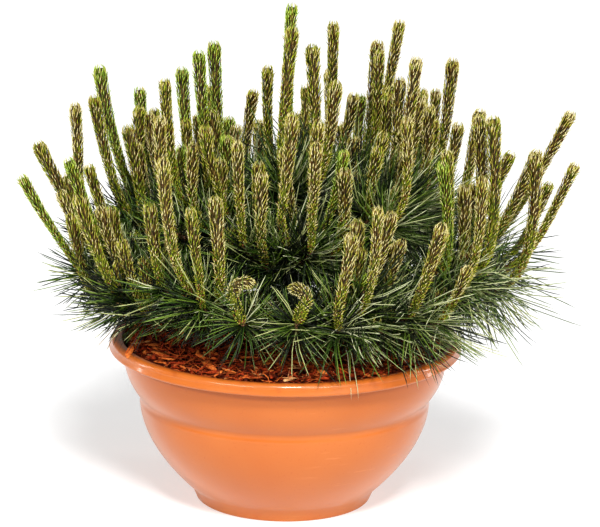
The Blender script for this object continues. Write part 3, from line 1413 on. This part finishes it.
FINE, COARSE = ((0, 0.8), (0.45, 1), (0.88, 0.8)), ((0, 0.8), (0.62, 1))
KINDS = {
    "rosette": Kind(20, 56, (102, 48), 1.0, 0.0, FINE),
    "nodding": Kind(20, 56, (110, 68), 1.0, 0.0, FINE),
    "older": Kind(60, 52, (96, 80), 0.85, 0.9, COARSE),
    "side": Kind(22, 32, (98, 44), 1.0, 0.0, FINE),
    "bare": Kind(95, 58, (96, 74), 0.85, 0.95, COARSE),
    "sprig": Kind(26, 26, (92, 40), 0.92, 0.5, FINE),
}
print("needles round the foot of a candle:", 2 * KINDS["rosette"].pairs)

# %% [markdown]
# The needles of a spray are worked out together, as rows of arrays. From each pair to the next the spiral
# turns by the golden angle. Then come the small differences that keep it from looking combed: how far a pair
# parts, how long and wide its needles are, and how they bend.

# %% A spray
NEEDLE_WIDTH = 0.98 * MM
LENGTH_RANGE, WIDTH_RANGE = (0.76, 1.06), (0.8, 1.15)
PARTING = (0.05, 0.26)  # how far the two needles of a pair part
FORWARD, CROOKED = (0.1, 0.75), 0.16  # how much they curve forwards, and any other way
SPREAD_WHIM, TURN_WHIM = 9, 0.2


def spray(sheaf, kind, stretch, height, rng):
    """Pairs of needles in a spiral on a stretch of twig."""
    shares = dealt(height, kind.age, rng)
    places, along = stretch
    count, tip = len(places), places[-1]
    length = kind.length * np.interp(tip[0], (LEFT, RIGHT), LEAF_LENGTHS)
    loose = np.clip((tip[0] - LOOSE_FROM) / LOOSE_OVER, 0, 1)
    droop = np.interp(tip[2], *DROOPS) + HANGING * loose
    side, across = cross_frame(along)
    turns = (np.arange(count) * GOLDEN_ANGLE + rng.normal(0, TURN_WHIM, count))[:, None]
    out = side * np.cos(turns) + across * np.sin(turns)
    level = np.linspace(0, 1, count)
    spread = np.radians(np.interp(level, (0, 1), kind.spreads) + rng.normal(0, SPREAD_WHIM, count))[:, None]
    ways = along * np.cos(spread) + out * np.sin(spread)
    parting = np.cross(along, out) * rng.uniform(*PARTING, count)[:, None]
    roots = np.repeat(places + out * TWIG_RADIUS * 0.7, 2, axis=0)
    ways = unit(np.stack([ways + parting, ways - parting], axis=1).reshape(-1, 3))
    lengths = length * np.repeat(rng.uniform(*LENGTH_RANGE, count), 2)
    bends = np.repeat(along, 2, axis=0) * rng.uniform(*FORWARD, 2 * count)[:, None]
    bends += np.repeat(rng.normal(0, CROOKED, (count, 3)), 2, axis=0) - (0, 0, droop)
    kept = still_there(roots + (ways + bends) * lengths[:, None])
    kept &= np.repeat(rng.random(count) > THINNED * loose, 2)
    widths = NEEDLE_WIDTH * rng.uniform(*WIDTH_RANGE, 2 * count)
    points = blades(roots, ways, lengths, widths, bends, kind.stations)[kept]
    corners = blade_corners(len(kind.stations))
    greens = np.repeat(rng.choice(len(GREENS), count, p=shares), 2)[kept]
    slots = np.repeat(greens[:, None], len(corners), axis=1)
    slots[:, first_side(len(kind.stations))] = PALE_SIDES[greens][:, None]
    sheaf.add_alike(points, corners, slots)


print("needles on old wood in the crown's shade:", 2 * KINDS["bare"].pairs, "for each bough")

# %% Needles, mass by mass
BARE_FROM, BARE_HEIGHT = 0.2, 0.18  # where on a bough its needles begin, and the height they count as
FRONT_FROM = 190  # masses at the edge with an azimuth above this are in front


def side_of(bough):
    """The needles and candles of the plant are made in three lots, and this is the lot of one mass."""
    if bough.reach < OUTER_REACH:
        return "middle"
    return "front" if bough.azimuth > FRONT_FROM else "back"


SIDES = {
    side: [index for index, bough in enumerate(BOUGHS) if side_of(bough) == side]
    for side in ("middle", "front", "back")
}


def needles_of(sheaf, index):
    """All the old needles of a mass, twig by twig."""
    rng = np.random.default_rng(SEED * 500 + index)
    for shoot in SHOOTS[index]:
        if not shoot.rosette:
            continue
        height = shoot.twig[2].z
        kind = KINDS["nodding" if shoot.nodding else "rosette"]
        spray(sheaf, kind, end_stretch(shoot.twig, shoot.first, kind), height, rng)
        kind = KINDS["older"]
        lower_half = (rows[: kind.pairs // 2] for rows in end_stretch(shoot.twig, shoot.first, kind))
        spray(sheaf, kind, tuple(lower_half), height, rng)
    for shoot in SIDE[index]:
        kind = KINDS["side"]
        spray(sheaf, kind, end_stretch(shoot.twig, shoot.first, kind), shoot.twig[2].z, rng)
    if BOUGHS[index].tier >= 0:
        kind = KINDS["bare"]
        spray(sheaf, kind, end_stretch(bough_route(index), BARE_FROM, kind), BARE_HEIGHT, rng)
    for sprig in SPRIGS[index]:
        kind = KINDS["sprig"]
        spray(sheaf, kind, end_stretch(sprig.twig, 0, kind), sprig.twig[2].z, rng)


def foliage_nodes(side):
    """The names of the solids that the needles and twigs of that side stand for."""
    return ["foliage_" + BOUGHS[index].name for index in SIDES[side]]


for side, members in SIDES.items():
    gathered = Sheaf()
    for index in members:
        needles_of(gathered, index)
    gathered.piece("needles_" + side, GREENS, "needles", foliage_nodes(side))

# %% [markdown]
# ## Candles
# A candle is a soft stem with its young needles still pressed to it, short at the foot and longer above. They
# overlap like the strands of a rope, all turning a little the same way. Candles are yellow-green at the foot
# and turn to straw and cream above, with rusty specks; a few at the upper left are still fresh green. Each
# young needle is plain, like the old ones, and only the stems are streaked.


# %% The colours of young growth
def soft_stem(name, dark, pale):
    """The hairy skin of a young stem, streaked lengthwise."""
    finish = Finish(name, {"IOR": 1.4, "Roughness": 0.7})
    streaks = finish.grain(900, 2, (1, 1, 0.3)).rising(0.42, 0.6)
    finish.feed(finish.shader, {"Base Color": finish.mixed(streaks, dark, pale)})
    finish.feed(finish.shader, {"Normal": finish.raised(streaks, 0.2 * MM)})
    return finish.material


YOUNG = {
    name: even_finish(name, paint(*colour), roughness, coat)
    for name, colour, roughness, coat in (
        ("young_lime", (166, 178, 32), 0.5, 0.05),
        ("young_olive", (112, 126, 26), 0.55, 0.0),
        ("young_straw", (182, 172, 76), 0.55, 0.0),
        ("young_cream", (220, 208, 150), 0.6, 0.0),
        ("young_tan", (144, 116, 56), 0.6, 0.0),
        ("young_rust", (114, 70, 26), 0.65, 0.0),
        ("young_fresh", (134, 162, 46), 0.5, 0.05),
        ("young_bright", (186, 208, 98), 0.5, 0.05),
        ("scale_brown", (134, 84, 40), 0.6, 0.0),
    )
}
SCALE_BROWN = list(YOUNG).index("scale_brown")
STEM_GREEN, STEM_BROWN = 0, 1
STEMS = [
    soft_stem("stem_green", paint(56, 64, 11), paint(124, 130, 30)),
    soft_stem("stem_brown", paint(38, 30, 10), paint(104, 84, 34)),
]
print("colours of young growth:", ", ".join(YOUNG))

# %% Which candle has which colours
TONES = {  # shares of the first eight colours: low on a candle, high on it, and in the tips up there
    "straw": (
        (0.46, 0.20, 0.20, 0.06, 0.02, 0.06, 0, 0),
        (0.08, 0.20, 0.18, 0.20, 0.20, 0.14, 0, 0),
        (0.02, 0.04, 0.32, 0.50, 0.12, 0, 0, 0),
    ),
    "olive": (
        (0.46, 0.30, 0.14, 0.02, 0.02, 0.06, 0, 0),
        (0.16, 0.36, 0.14, 0.08, 0.14, 0.12, 0, 0),
        (0.12, 0.16, 0.42, 0.22, 0.08, 0, 0, 0),
    ),
    "fresh": (
        (0.36, 0.28, 0.06, 0, 0, 0.04, 0.26, 0),
        (0.14, 0.32, 0.04, 0.02, 0.04, 0.06, 0.32, 0.06),
        (0.10, 0.06, 0.12, 0.12, 0, 0, 0.24, 0.36),
    ),
    "pale": (
        (0.56, 0.06, 0.28, 0.08, 0, 0.02, 0, 0),
        (0.10, 0.04, 0.40, 0.42, 0.02, 0.02, 0, 0),
        (0, 0, 0.20, 0.80, 0, 0, 0, 0),
    ),
}
FRESH, FRESHER = 0.06, 0.2  # the chance of a fresh candle, and how much more of it at the upper left
STRAW_LEFT, STRAW_RIGHT = 0.35, 0.55  # the chance of a straw one; all others are olive


def tone_of(shoot, rng):
    """Fresh green is likeliest on tall shoots at the left, straw at the right, and nodding ones are pale."""
    if shoot.nodding:
        return "pale"
    foot = shoot.candle[0]
    fresh = FRESH + (FRESHER if foot.x < -20 * MM and foot.z > 200 * MM else 0)
    straw = STRAW_RIGHT if foot.x > 0 else STRAW_LEFT
    return rng.choice(["fresh", "straw", "olive"], p=(fresh, straw, 1 - fresh - straw))


def picked(shares, rng):
    """One of the colours for each row of a table of shares."""
    shares = shares / shares.sum(axis=1, keepdims=True)
    return (rng.random(len(shares))[:, None] > np.cumsum(shares, axis=1)[:, :-1]).sum(axis=1)


print("tones of candles:", ", ".join(TONES))

# %% [markdown]
# It is easiest to say where each young needle ends: the tips lie on a spiral over the outline of the candle,
# which swells upwards and is rounded off at its end. Its root is then a needle's length lower, on the stem.
# No candle is quite straight, and each has its own slimness and its own sway.


# %% The outline of a candle
GIRTH = ((0, 0.06, 0.3, 0.62, 0.9, 1), (0.38, 0.50, 0.62, 0.80, 1.0, 1.06))
NODDING_GIRTH = ((0, 0.1, 0.7, 1), (0.55, 0.78, 0.9, 0.8))
SLIMNESS = (0.72, 1.0)
DOME = 1.15  # how long the rounded end is, in radii
CORE_SHARE = 0.66  # the radius of the stem, as a share of the candle's
SWAY, SWAY_TURNS = (1.5, 5.0), (2.4, 5.2)  # how far a candle sways, in millimetres, and how often
SWAY_CHECKS = 33
BESIDE_CANDLES = (0.2, 0.95, 0.1)  # no candle points this way


def whims(shoot):
    """Each candle's own random numbers, the same each time that they are asked for."""
    return random.Random(round(shoot.length * 1e7))


def candle_line(shoot, reached):
    """Places at those distances along a candle and the directions there. A standing one sways a little."""
    ends = np.linspace(0, 1, SWAY_CHECKS)
    line = np.array([candle_point(shoot, share) for share in ends])
    whim = whims(shoot)
    away = np.array(outward(whim.uniform(0, math.tau))) * whim.uniform(*SWAY) * MM
    if not shoot.nodding:
        line += away * (np.sin(ends * whim.uniform(*SWAY_TURNS)) * np.minimum(1, ends * 3))[:, None]
    slopes = np.gradient(line, axis=0)
    shares = reached / shoot.length
    places, ways = (
        np.stack([np.interp(shares, ends, rows[:, axis]) for axis in range(3)], axis=1)
        for rows in (line, slopes)
    )
    return places, unit(ways)


def outline(shoot, reached):
    """The radius of a candle at those distances along it: it swells upwards and ends in a dome."""
    slimness = 1 if shoot.nodding else whims(shoot).uniform(*SLIMNESS)
    swelling = NODDING_GIRTH if shoot.nodding else GIRTH
    girth = np.interp(reached / shoot.length, *swelling) * CANDLE_RADIUS * slimness
    into_dome = np.clip(1 - (shoot.length - reached) / (girth * DOME), 0, 1)
    return girth * np.sqrt(1 - into_dome**2)


def around(shoot, reached, turns, radii):
    """Points round a candle's line, and the direction outwards at each."""
    places, along = candle_line(shoot, reached)
    side, across = cross_frame(along, BESIDE_CANDLES)
    out = side * np.cos(turns)[:, None] + across * np.sin(turns)[:, None]
    return places + out * radii[:, None], out


tallest = max(shoot.length for shoots in SHOOTS for shoot in shoots)
print("candles: up to", round(tallest / MM), "mm long and", round(2 * CANDLE_RADIUS / MM), "mm across")

# %% [markdown]
# A young needle is a spindle of six triangles: one point at its root, three round its belly, which is well up
# it, and one at its tip. The brown scales that stay from the bud are spindles too, but short and broad.


# %% Spindles
BELLY_SHARE = 0.7  # how far up a young needle its widest place is
SPINDLE = np.array([(0, 2, 1), (0, 3, 2), (0, 1, 3), (4, 1, 2), (4, 2, 3), (4, 3, 1)])


def spindles(roots, bellies, tips, widths):
    """Slim needles of six triangles: a root, three points round the widest place, and a tip."""
    side, across = cross_frame(unit(tips - roots), BESIDE_CANDLES)
    ring = []
    for turn in BLADE_SIDES:
        out = side * math.cos(turn) + across * math.sin(turn)
        ring.append(bellies + out * (widths / 2)[:, None])
    return np.stack([roots, *ring, tips], axis=1)


print("a young needle has", len(SPINDLE), "triangles")

# %% Young needles
YOUNG_PER_MM = 4.9
YOUNG_WIDTH = 0.9 * MM
YOUNG_LENGTHS = ((0, 0.2, 0.6, 1), (3.0, 4.0, 5.4, 6.4))  # in millimetres, by their place on the candle
NODDING_NEEDLES = 0.46  # how long they are on a nodding candle, compared with the others
YOUNG_WHIM = (0.8, 1.2)  # of their lengths and of their widths
CROWDING = ((0, 0.9, 1), (0.03, 0.955, 1))  # the last tenth of the tips crowd on the rounded end
STRAND_TWIST, STRAND_WHIM = 0.3, 0.14
BELLY_GIRTH = 0.94
LIFTED, LIFTED_WHIM, PAST = 0.55, 0.4, 0.5  # how far, in millimetres, tips stand off the candle and past it
STRAYING, STRAY = 0.26, (0.5, 2.0)  # the share of them that stand off further, and how far
COLOUR_CHANGE = (0.15, 0.7)  # between these places a candle's lower colours give way to its upper ones


def young_needles(sheaf, shoot, tone, rng):
    """The young needles of one candle, in a spiral from its foot to its end."""
    count = int(shoot.length / MM * YOUNG_PER_MM)
    reached = np.interp(np.linspace(0, 1, count), *CROWDING) * shoot.length
    shares = reached / shoot.length
    lengths = np.interp(shares, *YOUNG_LENGTHS) * MM * rng.uniform(*YOUNG_WHIM, count)
    lengths *= NODDING_NEEDLES if shoot.nodding else 1
    turns = np.arange(count) * GOLDEN_ANGLE + rng.normal(0, STRAND_WHIM, count)
    rows = []
    for share, girth in ((0, CORE_SHARE), (BELLY_SHARE, BELLY_GIRTH), (1, 1)):
        there = np.clip(reached - lengths * (1 - share), 0, shoot.length)
        radii = outline(shoot, there) * girth
        rows.append(around(shoot, there, turns + STRAND_TWIST * share, radii))
    (roots, _), (bellies, _), (tips, out) = rows
    along = unit(tips - bellies)
    stray = (rng.random(count) < STRAYING) * rng.uniform(*STRAY, count)
    tips = tips + (out * (rng.normal(LIFTED, LIFTED_WHIM, count) + stray)[:, None] + along * PAST) * MM
    widths = YOUNG_WIDTH * rng.uniform(*YOUNG_WHIM, count)
    low, high, tip = (np.array(mixture) for mixture in TONES[tone])
    grown = np.interp(shares, COLOUR_CHANGE, (0, 1))[:, None]
    body = picked(low * (1 - grown) + high * grown, rng)
    ends = picked(low * (1 - grown) + tip * grown, rng)
    slots = np.repeat(np.stack([body, ends], axis=1), 3, axis=1)
    sheaf.add_alike(spindles(roots, bellies, tips, widths), SPINDLE, slots)


print("young needles on a candle of 100 mm:", round(100 * YOUNG_PER_MM))

# %% Brown scales
SCALES_PER_MM, SCALES_AT_LEAST = 0.4, 10
SCALES_UP_TO, CROWDED_LOW = 0.6, 2.2  # how far up a candle they go, and how much they crowd at its foot
SCALE_LENGTH, SCALE_WIDTH = (1.8, 3.2), (1.0, 1.6)  # in millimetres
SCALE_LEAN = 0.4


def scales(sheaf, shoot, rng):
    """Small brown scales that stay from the bud, most of them at the foot of the candle."""
    count = int(shoot.length / MM * SCALES_PER_MM) + SCALES_AT_LEAST
    reached = shoot.length * SCALES_UP_TO * rng.random(count) ** CROWDED_LOW
    turns = rng.uniform(0, math.tau, count)
    roots, out = around(shoot, reached, turns, outline(shoot, reached) * 0.8)
    _, along = candle_line(shoot, reached)
    lengths, widths = (rng.uniform(*bounds, count) * MM for bounds in (SCALE_LENGTH, SCALE_WIDTH))
    tips = roots + unit(along + out * SCALE_LEAN) * lengths[:, None]
    slots = np.full((count, len(SPINDLE)), SCALE_BROWN)
    sheaf.add_alike(spindles(roots, (roots + tips) / 2, tips, widths), SPINDLE, slots)


print("scales on a candle of 100 mm:", round(100 * SCALES_PER_MM) + SCALES_AT_LEAST)

# %% [markdown]
# Inside each candle is its stem, and below it the twig of old wood that carries it. The twigs of the whole
# plant are one piece in one pattern of bark. Young needles and stems are one piece each for the middle, the
# front and the back, as the old needles are.

# %% Candle stems and twigs
CANDLE_RINGS = 12
CANDLE_END = (0.8, 0.6, 0.45)  # the last rings, in radii below the tip
BROWN_FROM = 0.5  # how far up a stem its yellow-green gives way to brown
TWIG_STEPS = 9
TWIG_BARK = bark_finish("twig_bark", paint(58, 38, 26), paint(150, 112, 78), 520)


def candle_stem(sheaf, shoot):
    """The soft stem inside a candle, yellow-green below and browner above, with a rounded end."""
    rounded = shoot.length - np.array(CANDLE_END) * CANDLE_RADIUS
    reached = np.append(np.linspace(0, shoot.length - CANDLE_RADIUS, CANDLE_RINGS), rounded)
    points = [Vector(place) for place in candle_line(shoot, reached)[0]]
    radii = outline(shoot, reached) * CORE_SHARE
    add_limb(sheaf, limb(points, radii, 8), lambda rise: np.where(rise < BROWN_FROM, STEM_GREEN, STEM_BROWN))


def twig(sheaf, shoot):
    """The old wood of a shoot, from where it leaves its stem up to the candle."""
    steps = range(TWIG_STEPS + 1)
    points = [bezier(*shoot.twig, shoot.first + (1.0 - shoot.first) * step / TWIG_STEPS) for step in steps]
    swelling = BOUGH_TIP_RADIUS * 1.1 - TWIG_RADIUS
    radii = [TWIG_RADIUS + swelling * (1 - step / TWIG_STEPS) for step in steps]
    add_limb(sheaf, limb(points, radii, 7))


print("twigs: from", round(2.2 * BOUGH_TIP_RADIUS / MM, 1), "to", round(2 * TWIG_RADIUS / MM, 1), "mm thick")

# %% Make the twigs and the candles
twigs = Sheaf()
for shoots in [*SHOOTS, *SIDE, *SPRIGS]:
    for shoot in shoots:
        if shoot.rosette:
            twig(twigs, shoot)
twigs.piece("twigs", [TWIG_BARK], "bark", [name for side in SIDES for name in foliage_nodes(side)])

for side, members in SIDES.items():
    young, stems = Sheaf(), Sheaf()
    for index in members:
        rng = np.random.default_rng(SEED * 900 + index)
        for shoot in [*SHOOTS[index], *SIDE[index], *SPRIGS[index]]:
            tone = tone_of(shoot, rng)
            candle_stem(stems, shoot)
            young_needles(young, shoot, tone, rng)
            scales(young, shoot, rng)
    young.piece("young_needles_" + side, list(YOUNG.values()), "needles", foliage_nodes(side))
    stems.piece("candle_stems_" + side, STEMS, "needles", foliage_nodes(side))
